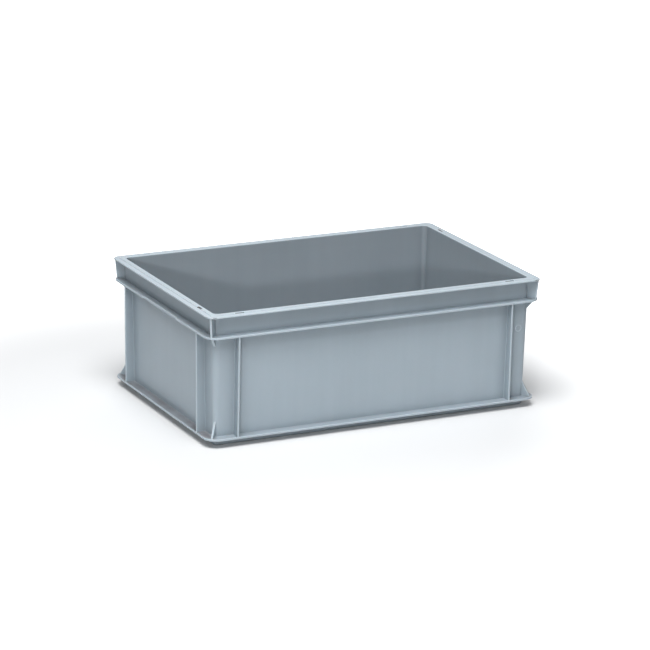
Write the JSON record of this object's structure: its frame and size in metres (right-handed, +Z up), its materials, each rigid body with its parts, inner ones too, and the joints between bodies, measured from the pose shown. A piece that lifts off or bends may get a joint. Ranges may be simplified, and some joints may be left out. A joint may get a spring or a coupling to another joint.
{
  "type": "euro stacking container",
  "caption": "Open stacking container of Euro footprint with drafted walls, flat rim, collar and base flanges, upright ribs and hand grips on the short sides.",
  "frame": {"origin": "middle of the face it stands on, at the ground", "axes": "+X along the long side, +Y along the short side away from the front, +Z up"},
  "size_m": [0.6, 0.4, 0.22],
  "materials": {
    "container": "blue-grey moulded polypropylene with a fine satin grain"
  },
  "bodies": {
    "root": {"container": "container"}
  },
  "joints": []
}
